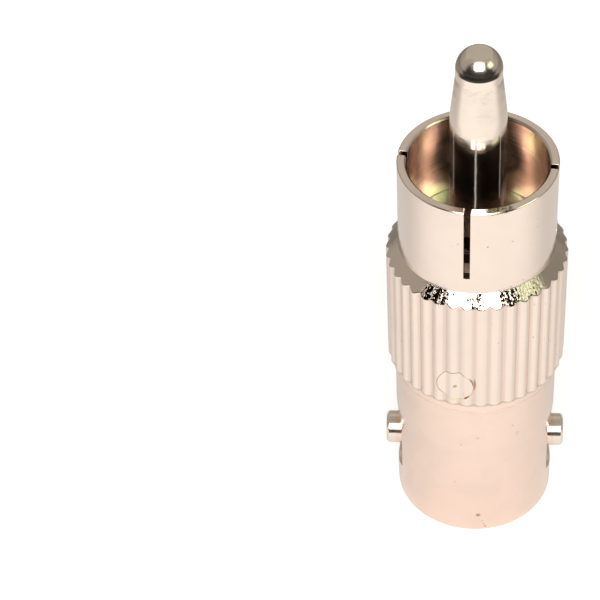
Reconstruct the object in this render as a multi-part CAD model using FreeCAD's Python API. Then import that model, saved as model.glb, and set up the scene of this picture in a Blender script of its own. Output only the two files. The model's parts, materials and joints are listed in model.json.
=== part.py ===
import FreeCAD, Part
import math
import os

os.makedirs("parts", exist_ok=True)

# A coaxial adapter: bayonet socket at the bottom, phono plug at the top.
# Lengths in millimetres. +Z runs up the shared axis of every piece.
# z = 0 is the plane of the socket's mouth rim, on which the adapter stands.
# The bayonet lugs lie on +X and -X. Azimuths are counted from -Y towards +X.

# Fits between pieces, per side.
PRESS = 0.01
SLIP = 0.03

# Socket barrel, outside.
BARREL_R = 4.83
BARREL_FRONT_STEP = 0.05
BARREL_FRONT_LEN = 6.7
BARREL_LEN = 11.10
MOUTH_OUTER_BEVEL = 0.10
BARREL_RING_LEN = 0.26
SEAM_BEVEL = 0.03

# Socket barrel, inside.
BARREL_BORE_R = 4.15
MOUTH_INNER_BEVEL = 0.22
BARREL_FLOOR_Z = 8.6
BARREL_WEB = 1.6
SPIGOT_R = 4.20
SPIGOT_LEN = 4.2
SPIGOT_LEAD = 0.25
SPIGOT_WALL = 0.80

# Bayonet lugs, each standing in a shallow round pocket of the barrel.
LUG_R = 1.0
LUG_REACH = 5.5
LUG_Z = 4.28
LUG_EDGE = 0.15
POCKET_R = 2.5
POCKET_DEPTH = 0.33

# Knurled collar and its two ends.
COLLAR_R = 5.28
COLLAR_BEVEL = 0.31
COLLAR_NECK_LEN = 0.44
COLLAR_TOP_Z = 19.75
SHOULDER_TOP_Z = 20.40
RIDGE_COUNT = 38
GROOVE_DEPTH = 0.19
GROOVE_HALF_WIDTH = 0.40
GROOVE_PHASE_DEG = -0.8

# Round mark low on the collar, with a centre dimple.
MARK_R = 1.1
MARK_Z = 13.4
MARK_AZIMUTH_DEG = -13.0
DIMPLE_R = 0.17
DIMPLE_DEPTH = 0.12

# Slotted plug shell above the shoulder.
SHELL_R = 4.56
SHELL_WALL = 0.55
SHELL_TOP_Z = 26.46
SHELL_FLOOR_Z = 20.95
SHELL_FOOT = 0.06
RIM_OUTER_BEVEL = 0.06
RIM_INNER_BEVEL = 0.12
SLOT_COUNT = 4
SLOT_WIDTH = 0.36
SLOT_BOTTOM_Z = 21.53
SLOT_AZIMUTH_DEG = -7.0

# Centre pin of the plug. Its seat in the insulator is thicker than its shaft.
PIN_R = 1.6
PIN_SEAT_R = 1.8
PIN_NOSE_R = 1.30
PIN_CONE_START_Z = 29.8
PIN_CONE_END_Z = 32.5
PIN_NOSE_TOP_Z = 32.95
PIN_DOME_MID_R = 1.18
PIN_DOME_MID_Z = 33.52
PIN_TIP_Z = 34.05
PIN_TIP_FLAT_R = 0.72
PIN_COLLAR_R = 2.2
PIN_COLLAR_LEN = 1.0

# Insulator under the plug shell.
PLUG_INSULATOR_R = 2.5
PLUG_FLANGE_R = 3.4
PLUG_FLANGE_LEN = 1.5
PLUG_WEB = 2.05
PLUG_FACE_SINK = 0.10

# Insulator inside the socket.
SOCKET_INSULATOR_R = 2.15
SOCKET_FACE_Z = 3.0
SOCKET_FACE_BEVEL = 0.10
SOCKET_FLANGE_LEN = 2.4

# Split socket contact.
CONTACT_R = 1.0
CONTACT_TIP_Z = 3.05
CONTACT_TIP_R = 0.87
CONTACT_LIP_R = 0.42
CONTACT_BORE_R = 0.68
CONTACT_BORE_DEPTH = 6.0
CONTACT_SLOT = 0.28
CONTACT_SLOT_LEN = 4.0
CONTACT_TAPER_LEN = 2.1
CONTACT_COLLAR_R = 1.8
CONTACT_COLLAR_LEN = 1.0
TAIL_R = 0.80
TAIL_LEN = 3.8
TAIL_BORE_SPARE = 0.2

# Heights and radii that follow from the sizes above.
BARREL_WEB_TOP_Z = BARREL_FLOOR_Z + BARREL_WEB
SPIGOT_TOP_Z = BARREL_LEN + SPIGOT_LEN
REAR_BORE_R = SPIGOT_R - SPIGOT_WALL
NECK_R = COLLAR_R - COLLAR_BEVEL
COLLAR_BOTTOM_Z = BARREL_LEN + COLLAR_NECK_LEN + COLLAR_BEVEL
PLUG_WEB_BOTTOM_Z = SHELL_FLOOR_Z - PLUG_WEB
PLUG_FLANGE_BOTTOM_Z = PLUG_WEB_BOTTOM_Z - PLUG_FLANGE_LEN
SHELL_BORE_R = SHELL_R - SHELL_WALL
CONTACT_SEAT_Z = BARREL_WEB_TOP_Z + SOCKET_FLANGE_LEN
PIN_BOTTOM_Z = CONTACT_SEAT_Z + CONTACT_COLLAR_LEN
PLUG_FACE_Z = SHELL_FLOOR_Z - PLUG_FACE_SINK

ORIGIN = FreeCAD.Vector(0, 0, 0)
UP = FreeCAD.Vector(0, 0, 1)


def turned(profile):
    """Solid of revolution about the axis from (radius, height) corners."""
    corners = [FreeCAD.Vector(r, 0, z) for r, z in profile]
    wire = Part.makePolygon(corners + corners[:1])
    return Part.Face(wire).revolve(ORIGIN, UP, 360)


def at_azimuth(shape, azimuth):
    """Turn a shape made on the -Y side to an azimuth in degrees."""
    placed = shape.copy()
    placed.rotate(ORIGIN, UP, azimuth)
    return placed


def export(shape, node):
    """Write one node as a STEP file of a single valid solid."""
    clean = shape.removeSplitter()
    solids = clean.Solids
    assert len(solids) == 1, node
    assert clean.isValid(), node
    solids[0].exportStep("parts/" + node + ".step")


# Barrel of the socket: a thin tube with a web near its root.
# A small ring, as wide as the collar's neck, marks its seat, and its spigot
# is pressed into the collar.
front_r = BARREL_R - BARREL_FRONT_STEP
ring_slope = abs(NECK_R - BARREL_R)
ring_top = BARREL_LEN
barrel = turned([
    (BARREL_BORE_R + MOUTH_INNER_BEVEL, 0),
    (front_r - MOUTH_OUTER_BEVEL, 0),
    (front_r, MOUTH_OUTER_BEVEL),
    (front_r, BARREL_FRONT_LEN),
    (BARREL_R, BARREL_FRONT_LEN + 4 * BARREL_FRONT_STEP),
    (BARREL_R, ring_top - BARREL_RING_LEN - ring_slope),
    (NECK_R, ring_top - BARREL_RING_LEN),
    (NECK_R, ring_top - SEAM_BEVEL),
    (NECK_R - SEAM_BEVEL, ring_top),
    (SPIGOT_R - PRESS, ring_top),
    (SPIGOT_R - PRESS, SPIGOT_TOP_Z - SPIGOT_LEAD),
    (SPIGOT_R - PRESS - SPIGOT_LEAD / 2, SPIGOT_TOP_Z),
    (REAR_BORE_R, SPIGOT_TOP_Z),
    (REAR_BORE_R, BARREL_WEB_TOP_Z),
    (SOCKET_INSULATOR_R, BARREL_WEB_TOP_Z),
    (SOCKET_INSULATOR_R, BARREL_FLOOR_Z),
    (BARREL_BORE_R, BARREL_FLOOR_Z),
    (BARREL_BORE_R, MOUTH_INNER_BEVEL),
])

# Two round pockets are sunk in the barrel and a lug is left in each.
pocket_level = BARREL_R - POCKET_DEPTH
for side in (1, -1):
    outward = FreeCAD.Vector(side, 0, 0)
    pocket_centre = FreeCAD.Vector(side * pocket_level, 0, LUG_Z)
    pocket = Part.makeCylinder(POCKET_R, LUG_REACH, pocket_centre, outward)
    barrel = barrel.cut(pocket)
    lug_root = FreeCAD.Vector(side * (BARREL_BORE_R + PRESS), 0, LUG_Z)
    lug_length = LUG_REACH - LUG_EDGE - BARREL_BORE_R - PRESS
    lug = Part.makeCylinder(LUG_R, lug_length, lug_root, outward)
    edge_start = FreeCAD.Vector(side * (LUG_REACH - LUG_EDGE), 0, LUG_Z)
    edge = Part.makeCone(LUG_R, LUG_R - LUG_EDGE, LUG_EDGE, edge_start, outward)
    bore_keep = Part.makeCylinder(BARREL_BORE_R, BARREL_FLOOR_Z)
    barrel = barrel.fuse(lug.fuse(edge).cut(bore_keep))
export(barrel, "bnc_barrel")

# Collar and slotted shell, one piece: bored below for the spigot.
# A web above the bore holds the insulator, and the shell stands on it.
body = turned([
    (SPIGOT_R, BARREL_LEN),
    (NECK_R - SEAM_BEVEL, BARREL_LEN),
    (NECK_R, BARREL_LEN + SEAM_BEVEL),
    (NECK_R, BARREL_LEN + COLLAR_NECK_LEN),
    (COLLAR_R, COLLAR_BOTTOM_Z),
    (COLLAR_R, COLLAR_TOP_Z),
    (SHELL_R + SHELL_FOOT, SHOULDER_TOP_Z),
    (SHELL_R, SHOULDER_TOP_Z + SHELL_FOOT),
    (SHELL_R, SHELL_TOP_Z - RIM_OUTER_BEVEL),
    (SHELL_R - RIM_OUTER_BEVEL, SHELL_TOP_Z),
    (SHELL_BORE_R + RIM_INNER_BEVEL, SHELL_TOP_Z),
    (SHELL_BORE_R, SHELL_TOP_Z - RIM_INNER_BEVEL),
    (SHELL_BORE_R, SHELL_FLOOR_Z),
    (PLUG_INSULATOR_R, SHELL_FLOOR_Z),
    (PLUG_INSULATOR_R, PLUG_WEB_BOTTOM_Z),
    (PLUG_FLANGE_R, PLUG_WEB_BOTTOM_Z),
    (PLUG_FLANGE_R, PLUG_FLANGE_BOTTOM_Z),
    (SPIGOT_R, PLUG_FLANGE_BOTTOM_Z),
])

# Straight, wide V grooves around the collar, open at both of its bevelled ends.
# The cutters reach just past the collar, so that neighbours don't overlap.
groove_reach = 0.05 * GROOVE_DEPTH
groove_spread = GROOVE_HALF_WIDTH * (GROOVE_DEPTH + groove_reach) / GROOVE_DEPTH
groove_apex = FreeCAD.Vector(0, GROOVE_DEPTH - COLLAR_R, BARREL_LEN)
groove_left = FreeCAD.Vector(-groove_spread, -COLLAR_R - groove_reach, BARREL_LEN)
groove_right = FreeCAD.Vector(groove_spread, -COLLAR_R - groove_reach, BARREL_LEN)
groove_wire = Part.makePolygon([groove_apex, groove_left, groove_right, groove_apex])
groove_run = FreeCAD.Vector(0, 0, SHELL_TOP_Z - BARREL_LEN)
groove = Part.Face(groove_wire).extrude(groove_run)
grooves = []
for index in range(RIDGE_COUNT):
    azimuth = GROOVE_PHASE_DEG + index * 360.0 / RIDGE_COUNT
    grooves.append(at_azimuth(groove, azimuth))
body = body.cut(Part.makeCompound(grooves))

# The round mark: a flat disc that fills the grooves and cuts the ridges.
# Its left and right edges are flush with the collar.
mark_level = math.sqrt(COLLAR_R ** 2 - MARK_R ** 2)
mark_in = FreeCAD.Vector(0, -1, 0)
mark_root = FreeCAD.Vector(0, -(SPIGOT_R + COLLAR_R) / 2, MARK_Z)
mark_depth = mark_level - (SPIGOT_R + COLLAR_R) / 2
mark_face = FreeCAD.Vector(0, -mark_level, MARK_Z)
mark_pad = Part.makeCylinder(MARK_R, mark_depth, mark_root, mark_in)
mark_clear = Part.makeCylinder(MARK_R, COLLAR_R, mark_face, mark_in)
dimple_base = FreeCAD.Vector(0, -(mark_level - DIMPLE_DEPTH), MARK_Z)
dimple = Part.makeCone(0.4 * DIMPLE_R, DIMPLE_R, DIMPLE_DEPTH, dimple_base, mark_in)
body = body.fuse(at_azimuth(mark_pad, MARK_AZIMUTH_DEG))
body = body.cut(at_azimuth(mark_clear, MARK_AZIMUTH_DEG))
body = body.cut(at_azimuth(dimple, MARK_AZIMUTH_DEG))

# Four saw slots let the shell spring open over the jack.
slot_start = FreeCAD.Vector(-SLOT_WIDTH / 2, -(SHELL_R + SHELL_WALL), SLOT_BOTTOM_Z)
slot = Part.makeBox(SLOT_WIDTH, 3 * SHELL_WALL, SHELL_TOP_Z, slot_start)
for index in range(SLOT_COUNT):
    azimuth = SLOT_AZIMUTH_DEG + index * 360.0 / SLOT_COUNT
    body = body.cut(at_azimuth(slot, azimuth))
export(body, "knurled_body")

# White insulator of the socket: a column with a flange behind the web.
socket_insulator = turned([
    (CONTACT_R + SLIP, SOCKET_FACE_Z),
    (SOCKET_INSULATOR_R - PRESS - SOCKET_FACE_BEVEL, SOCKET_FACE_Z),
    (SOCKET_INSULATOR_R - PRESS, SOCKET_FACE_Z + SOCKET_FACE_BEVEL),
    (SOCKET_INSULATOR_R - PRESS, BARREL_WEB_TOP_Z),
    (REAR_BORE_R - PRESS, BARREL_WEB_TOP_Z),
    (REAR_BORE_R - PRESS, CONTACT_SEAT_Z),
    (CONTACT_R + SLIP, CONTACT_SEAT_Z),
])
export(socket_insulator, "bnc_insulator")

# Split contact: four fingers drawn in at the lips, a seat collar and a tail.
bore_end = CONTACT_TIP_Z + CONTACT_BORE_DEPTH
contact = turned([
    (CONTACT_LIP_R, CONTACT_TIP_Z),
    (CONTACT_TIP_R, CONTACT_TIP_Z),
    (CONTACT_R, CONTACT_TIP_Z + CONTACT_TAPER_LEN),
    (CONTACT_R, CONTACT_SEAT_Z),
    (CONTACT_COLLAR_R, CONTACT_SEAT_Z),
    (CONTACT_COLLAR_R, PIN_BOTTOM_Z),
    (TAIL_R - PRESS, PIN_BOTTOM_Z),
    (TAIL_R - PRESS, PIN_BOTTOM_Z + TAIL_LEN),
    (0, PIN_BOTTOM_Z + TAIL_LEN),
    (0, bore_end + CONTACT_BORE_R / 2),
    (CONTACT_BORE_R, bore_end),
    (CONTACT_BORE_R, CONTACT_TIP_Z + CONTACT_TAPER_LEN * 0.7),
    (CONTACT_LIP_R, CONTACT_TIP_Z + CONTACT_TAPER_LEN * 0.2),
])
finger_start = FreeCAD.Vector(-CONTACT_SLOT / 2, -CONTACT_R, 0)
finger_gap = Part.makeBox(CONTACT_SLOT, 2 * CONTACT_R, CONTACT_TIP_Z + CONTACT_SLOT_LEN, finger_start)
for azimuth in (20, 110):
    contact = contact.cut(at_azimuth(finger_gap, azimuth))
export(contact, "socket_contact")

# Insulator of the plug: a collar in the web with a flange below it.
plug_insulator = turned([
    (PIN_SEAT_R + PRESS, PLUG_FLANGE_BOTTOM_Z),
    (PLUG_FLANGE_R - PRESS, PLUG_FLANGE_BOTTOM_Z),
    (PLUG_FLANGE_R - PRESS, PLUG_WEB_BOTTOM_Z),
    (PLUG_INSULATOR_R - PRESS, PLUG_WEB_BOTTOM_Z),
    (PLUG_INSULATOR_R - PRESS, PLUG_FACE_Z),
    (PIN_SEAT_R + PRESS, PLUG_FACE_Z),
])
export(plug_insulator, "rca_insulator")

# Centre pin: seat, shaft, long cone and slimmer nose with a flattened dome.
# The shaft starts level with the insulator's face, where the seat ends.
# The root is bored for the contact's tail and stands on the contact's collar.
bore_top = PIN_BOTTOM_Z + TAIL_LEN + TAIL_BORE_SPARE
pin_lines = Part.makePolygon([
    FreeCAD.Vector(PIN_TIP_FLAT_R, 0, PIN_TIP_Z),
    FreeCAD.Vector(0, 0, PIN_TIP_Z),
    FreeCAD.Vector(0, 0, bore_top),
    FreeCAD.Vector(TAIL_R, 0, bore_top),
    FreeCAD.Vector(TAIL_R, 0, PIN_BOTTOM_Z),
    FreeCAD.Vector(PIN_SEAT_R, 0, PIN_BOTTOM_Z),
    FreeCAD.Vector(PIN_SEAT_R, 0, PLUG_FLANGE_BOTTOM_Z - PIN_COLLAR_LEN),
    FreeCAD.Vector(PIN_COLLAR_R, 0, PLUG_FLANGE_BOTTOM_Z - PIN_COLLAR_LEN),
    FreeCAD.Vector(PIN_COLLAR_R, 0, PLUG_FLANGE_BOTTOM_Z),
    FreeCAD.Vector(PIN_SEAT_R, 0, PLUG_FLANGE_BOTTOM_Z),
    FreeCAD.Vector(PIN_SEAT_R, 0, PLUG_FACE_Z),
    FreeCAD.Vector(PIN_R, 0, PLUG_FACE_Z),
    FreeCAD.Vector(PIN_R, 0, PIN_CONE_START_Z),
    FreeCAD.Vector(PIN_NOSE_R, 0, PIN_CONE_END_Z),
    FreeCAD.Vector(PIN_NOSE_R, 0, PIN_NOSE_TOP_Z),
])
dome_arc = Part.Arc(
    FreeCAD.Vector(PIN_NOSE_R, 0, PIN_NOSE_TOP_Z),
    FreeCAD.Vector(PIN_DOME_MID_R, 0, PIN_DOME_MID_Z),
    FreeCAD.Vector(PIN_TIP_FLAT_R, 0, PIN_TIP_Z),
).toShape()
pin_wire = Part.Wire(pin_lines.Edges + [dome_arc])
pin = Part.Face(pin_wire).revolve(ORIGIN, UP, 360)
export(pin, "rca_pin")
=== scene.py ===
# %% [markdown]
# A coaxial video adapter, standing on the mouth of its bayonet socket. Four pieces of
# metal are turned and plated. Two plastic insulators lie between them, a white one in
# the socket and a black one under the phono plug.
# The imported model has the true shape, so this lesson only dresses it. Each piece is
# drawn again as a fine surface with eased edges, because plated metal shows its edges
# mostly by the light that they catch.

import json
import math

import bmesh
import bpy
import numpy as np
from mathutils import Matrix, Vector

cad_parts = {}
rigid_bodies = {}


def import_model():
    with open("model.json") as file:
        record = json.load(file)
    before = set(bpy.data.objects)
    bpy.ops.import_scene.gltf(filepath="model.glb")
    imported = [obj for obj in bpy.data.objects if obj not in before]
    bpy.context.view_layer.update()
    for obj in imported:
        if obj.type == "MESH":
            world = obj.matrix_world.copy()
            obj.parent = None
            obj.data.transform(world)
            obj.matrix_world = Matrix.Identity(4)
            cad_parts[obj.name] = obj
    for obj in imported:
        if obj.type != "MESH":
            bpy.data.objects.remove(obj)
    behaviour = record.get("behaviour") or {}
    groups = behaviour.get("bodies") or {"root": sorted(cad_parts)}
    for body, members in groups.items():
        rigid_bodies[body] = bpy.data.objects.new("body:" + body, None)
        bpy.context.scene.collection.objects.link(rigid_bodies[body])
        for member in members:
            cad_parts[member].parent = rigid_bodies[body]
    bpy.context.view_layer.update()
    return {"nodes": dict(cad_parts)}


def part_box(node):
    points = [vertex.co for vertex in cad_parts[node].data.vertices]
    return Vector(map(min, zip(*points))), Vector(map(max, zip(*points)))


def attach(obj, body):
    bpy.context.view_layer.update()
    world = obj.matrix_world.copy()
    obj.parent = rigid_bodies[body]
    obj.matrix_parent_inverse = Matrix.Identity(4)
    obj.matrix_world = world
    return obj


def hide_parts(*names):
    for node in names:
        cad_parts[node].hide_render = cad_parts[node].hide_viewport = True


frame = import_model()
print("nodes:", sorted(frame["nodes"]))

# %% [markdown]
# All sizes below are millimetres, and MM turns them into metres at the very end.
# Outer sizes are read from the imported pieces. What a box can't tell, such as a bevel
# or the depth of a slot, is a named value beside the piece that needs it.
# Azimuths are counted from the front, -Y, towards +X.

# %% Sizes that several pieces share
MM = 0.001
REACH = {name: np.array(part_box(name)[1]) / MM for name in frame["nodes"]}
FOOT = {name: np.array(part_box(name)[0]) / MM for name in frame["nodes"]}

SHELL_TOP = REACH["knurled_body"][2]
SEAM = FOOT["knurled_body"][2]
PIN_TIP = REACH["rca_pin"][2]
LUG_REACH = REACH["bnc_barrel"][0]
COLLAR_R = 5.28
NECK_R = 4.97
SEAM_BEVEL = 0.015
SPIGOT_R = 4.20
print(f"seam at {SEAM:.2f}, rim at {SHELL_TOP:.2f}, pin tip at {PIN_TIP:.2f} mm")

# %% [markdown]
# A turned piece is a profile of corners carried round the axis. A real edge is never
# sharp: the tool's nose and the plating round it. So each corner gets a small curve,
# with one more row of points on either side, which keeps the flats beside it flat.

# %% Helper: round the corners of a profile
SUPPORT = 0.5
EASE_STEPS = 3
LEG_SHARE = 0.3


def eased(corners, closed=False):
    """Rows of (radius, height) along a profile.

    Each corner is (radius, height, ease), numbers or one value per column. At a
    corner C with ease above 0, the two legs are left at A and B, ease away from it, and
    joined by the curve (1-t)^2 A + 2t(1-t) C + t^2 B. On each leg lies a support row.
    """
    width = max(np.size(value) for corner in corners for value in corner)
    points = [np.stack([np.broadcast_to(r, width), np.broadcast_to(z, width)], -1).astype(float)
              for r, z, _ in corners]
    count = len(points)
    rows = []
    for i, (point, corner) in enumerate(zip(points, corners)):
        ends = not closed and i in (0, count - 1)
        if ends or np.max(corner[2]) <= 0:
            rows.append(point)
            continue
        ease = np.broadcast_to(corner[2], width)[:, None]
        legs = []
        for other in (points[i - 1], points[(i + 1) % count]):
            span = np.linalg.norm(other - point, axis=-1, keepdims=True)
            cut = np.minimum(ease, LEG_SHARE * span)
            legs.append((other - point) / np.maximum(span, 1e-9) * cut)
        before, after = legs
        rows.append(point + before * (1 + SUPPORT))
        for t in np.linspace(0, 1, EASE_STEPS + 1):
            rows.append(point + (1 - t) ** 2 * before + t ** 2 * after)
        rows.append(point + after * (1 + SUPPORT))
    return np.stack(rows)


# %% Helper: carry a profile round the axis
def carried(rows, azimuth):
    """Grid of points: x = r sin a, y = -r cos a, z as in the rows. Azimuth in degrees."""
    radius, height, a = np.broadcast_arrays(rows[..., 0], rows[..., 1], np.radians(azimuth))
    return np.stack([radius * np.sin(a), -radius * np.cos(a), height], -1)


def joined_round(grid):
    """The grid with its first column once more at the end, so that it meets itself."""
    return np.concatenate([grid, grid[:, :1]], 1)


# %% [markdown]
# The grids of one piece meet along shared lines. Points that agree are welded, cells
# that have shrunk to nothing are dropped, and the result is one closed shell. Its
# volume, worked out from its faces, is printed: only a closed shell has a true one.

# %% Helper: weld grids into one closed mesh, and make a piece of it
WELD = 1e-5
SMOOTH_ANGLE = math.radians(38)


def welded(grids):
    """Vertices and the corner lists of all faces, as arrays, with doubles merged."""
    points, quads, start = [], [], 0
    for grid in grids:
        rows, columns = grid.shape[:2]
        index = np.arange(rows * columns).reshape(rows, columns) + start
        cell = [index[:-1, :-1], index[:-1, 1:], index[1:, 1:], index[1:, :-1]]
        quads.append(np.stack(cell, -1).reshape(-1, 4))
        points.append(grid.reshape(-1, 3))
        start += rows * columns
    points, quads = np.concatenate(points), np.concatenate(quads)
    keys = np.round(points / WELD).astype(np.int64)
    _, first, same = np.unique(keys, axis=0, return_index=True, return_inverse=True)
    quads = same.reshape(-1)[quads]
    keep = quads != np.roll(quads, -1, axis=1)
    folded = (quads[:, 0] == quads[:, 2]) | (quads[:, 1] == quads[:, 3])
    keep[folded | (keep.sum(1) < 3)] = False
    sides = keep.sum(1)
    return points[first], quads[keep], sides[sides > 0]


def mesh_from(name, grids):
    """One mesh of all the grids, in metres."""
    points, loops, sides = welded(grids)
    faces = np.split(loops, np.cumsum(sides)[:-1])
    mesh = bpy.data.meshes.new(name)
    mesh.from_pydata((points * MM).tolist(), [], [face.tolist() for face in faces])
    return mesh


def in_scene(name, data):
    """A new object of the scene, with its mesh, lamp or camera."""
    made = bpy.data.objects.new(name, data)
    bpy.context.scene.collection.objects.link(made)
    return made


def piece_from(name, grids, node):
    """One smooth object that stands for a CAD node, riding on the root."""
    mesh = mesh_from(name, grids)
    turn_outwards(mesh)
    mesh.polygons.foreach_set("use_smooth", np.ones(len(mesh.polygons), bool))
    mesh.set_sharp_from_angle(angle=SMOOTH_ANGLE)
    piece = in_scene(name, mesh)
    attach(piece, "root")
    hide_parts(node)
    report(mesh)
    return piece


# %% Helper: faces outwards, and what the mesh measures
def volume_mm3(mesh):
    """Sum over the triangles of a . (b x c) / 6, which is positive if faces point out."""
    mesh.calc_loop_triangles()
    corners = np.empty(len(mesh.loop_triangles) * 3, np.int32)
    mesh.loop_triangles.foreach_get("vertices", corners)
    places = np.empty(len(mesh.vertices) * 3, np.float32)
    mesh.vertices.foreach_get("co", places)
    points = places.reshape(-1, 3).astype(float)[corners] / MM
    a, b, c = points.reshape(-1, 3, 3).transpose(1, 0, 2)
    return float((a * np.cross(b, c)).sum() / 6)


def turn_outwards(mesh):
    """Gives neighbouring faces one sense, and then the sense that points out."""
    work = bmesh.new()
    work.from_mesh(mesh)
    bmesh.ops.recalc_face_normals(work, faces=work.faces)
    work.to_mesh(mesh)
    work.free()
    if volume_mm3(mesh) < 0:
        mesh.flip_normals()


def report(mesh):
    """Prints the volume, the triangles, and the edges that don't join two faces."""
    edges = np.empty(len(mesh.loops), np.int32)
    mesh.loops.foreach_get("edge_index", edges)
    uses = np.bincount(edges, minlength=len(mesh.edges))
    print(f"{mesh.name}: {volume_mm3(mesh):.1f} mm3, {len(mesh.loop_triangles)} triangles,"
          f" {int((uses != 2).sum())} open edges")


# %% [markdown]
# The knurl is 38 straight V grooves, wide and shallow, with narrow crests. One pitch is
# described by a few angles, close together at the groove's root and at the two edges
# of the crest. The distance from the axis is the smaller of the collar and the groove's
# two flanks, and a smooth minimum rounds the edges, as rolling and plating do.

# %% Knurl: columns and radius
RIDGES = 38
GROOVE_DEPTH = 0.19
GROOVE_HALF_WIDTH = 0.40
GROOVE_PHASE = -0.8
ROOT_SOFT = 0.004
CREST_SOFT = 0.025
DEPTH_CHANGE = 0.008
DEPTH_TURN = 2.4
PITCH = 360.0 / RIDGES
HALF_PITCH = (0, 0.2, 0.6, 2.1, 3.6, 4.05, 4.3, 4.5, PITCH / 2)


def smooth_minimum(a, b, width):
    """min(a, b), with the corner between them cut by a parabola of that width."""
    near = np.maximum(width - np.abs(a - b), 0) / width
    return np.minimum(a, b) - near ** 2 * width / 4


def groove_radius(azimuth):
    """Distance from the axis: the collar, or (R - d) / (cos a - k |sin a|) on a flank.

    The flank's slope k is the full depth over the half width. The depth d of a groove is
    a little less, by a sine of its number, because no real knurl is quite even.
    """
    number = np.round((azimuth - GROOVE_PHASE) / PITCH)
    depth = GROOVE_DEPTH - DEPTH_CHANGE * (1 + np.sin(number * DEPTH_TURN))
    slope = GROOVE_DEPTH / GROOVE_HALF_WIDTH
    off = np.radians(azimuth - GROOVE_PHASE - number * PITCH)
    side = np.sqrt(np.sin(off) ** 2 + ROOT_SOFT ** 2)
    flank = (COLLAR_R - depth) / np.maximum(np.cos(off) - slope * side, 0.5)
    return smooth_minimum(COLLAR_R, flank, CREST_SOFT)


# %% [markdown]
# Low on the collar sits a round mark, the scar of a tool: a flat disc that cuts the
# ridges and fills the grooves, with a tiny dimple. Its outline is exact because every
# column is broken where it crosses the circle. More columns stand close together near
# the disc's left and right ends, where the circle turns upright.

# %% Round mark: where each column enters and leaves it
MARK_R = 1.1
MARK_Z = 13.4
MARK_AZIMUTH = -13.0
DIMPLE_R = 0.17
DIMPLE_DEPTH = 0.12
DIMPLE_STEEPNESS = 1.35
MARK_COLUMNS = 57
DIMPLE_COLUMNS = 13
MARK_LEVEL = math.sqrt(COLLAR_R ** 2 - MARK_R ** 2)
MARK_ROWS = np.array([0, 0.02, 0.16, 0.3, 0.4, 0.43, 0.455, 0.475, 0.49,
                      0.5, 0.51, 0.525, 0.545, 0.57, 0.6, 0.7, 0.84, 0.98, 1])


def mark_columns():
    """Azimuths whose points on the disc are spaced as cosines, plus some at the dimple."""
    across = np.cos(np.linspace(0, math.pi, MARK_COLUMNS)) * MARK_R
    dimple = np.linspace(-DIMPLE_R, DIMPLE_R, DIMPLE_COLUMNS) * 1.1
    side = np.concatenate([across, dimple])
    return MARK_AZIMUTH + np.degrees(np.arctan2(side, MARK_LEVEL))


def mark_rows(azimuth, collar):
    """Rows of (radius, height) up the mark, flat beside it: a level disc with a dimple."""
    turn = np.radians(azimuth - MARK_AZIMUTH)
    side = MARK_LEVEL * np.tan(np.clip(turn, -0.5, 0.5))
    half = np.sqrt(np.maximum(MARK_R ** 2 - side ** 2, 0))
    half = np.where(half < 1e-4, 0, half)
    rows = [np.stack([collar, MARK_Z - half], -1)]
    for share in MARK_ROWS:
        height = MARK_Z + half * (2 * share - 1)
        from_centre = np.hypot(side, height - MARK_Z)
        dip = DIMPLE_DEPTH * np.clip(DIMPLE_STEEPNESS * (1 - from_centre / DIMPLE_R), 0, 1)
        level = (MARK_LEVEL - dip) / np.cos(turn)
        rows.append(np.stack([np.where(half > 0, level, collar), height], -1))
    rows.append(np.stack([collar, MARK_Z + half], -1))
    return np.stack(rows)


# %% [markdown]
# The plug's shell is sawn into four springs. The saw cuts flat sides, so an edge of
# a slot lies at a wider angle inside the wall than outside it. The columns of the
# shell are spread to suit: a few cross each slot, and the rest share the spring.

# %% Slotted tubes: where the columns go
SLOT_HALF_COLUMNS = 3
EDGE_STEPS = np.array((0.008, 0.02, 0.04))


def beside_slot(away, radius, reach):
    """Base angle and share of the columns that lie at given angles from a slot's centre.

    The first few cross half the slot. The next lie EDGE_STEPS from its edge, and the
    rest come back to their own angle at the reach. All angles are in degrees.
    """
    edge, order = SLOT_HALF_COLUMNS, np.arange(len(away))
    bound = away[away >= reach][0]
    along = (away - away[edge]) / (bound - away[edge])
    along[edge + 1:edge + 1 + len(EDGE_STEPS)] = EDGE_STEPS / (radius * math.radians(bound))
    along = np.clip(along, 0, 1)
    base = np.where(away < bound, along * bound, away)
    return base, np.where(order < edge, order / edge, 1 - along)


def bent_columns(azimuth, centres, radius, reach):
    """For each column, its azimuth without a slot and how much of the slot it takes.

    The azimuth at radius r is base + share * asin(half width / r), so that the sides
    of a slot are flat and parallel. Also gives the number of columns in each sector.
    """
    base, share, counts = [], [], []
    for centre, following in zip(centres, centres[1:]):
        sector = azimuth[(azimuth > centre - 1e-6) & (azimuth < following - 1e-6)]
        sector = np.append(sector, following)
        near_base, near_share = beside_slot(sector - centre, radius, reach)
        far_base, far_share = beside_slot((following - sector)[::-1], radius, reach)
        first = np.arange(len(sector)) < len(sector) // 2
        base.append(np.where(first, centre + near_base, following - far_base[::-1])[:-1])
        share.append(np.where(first, near_share, -far_share[::-1])[:-1])
        counts.append(len(sector) - 1)
    return np.concatenate(base), np.concatenate(share), counts


def slotted(base, share, half_width, radius):
    """Azimuths in degrees of the slotted tube's columns at a radius."""
    return base + share * np.degrees(np.arcsin(half_width / np.maximum(radius, 1.05 * half_width)))


def ladder(line):
    """A flat cut face: joins each point of a bent line to its partner from the far end."""
    half = (len(line) + 1) // 2
    return np.stack([line[:half], line[::-1][:half]], 1)


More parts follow.
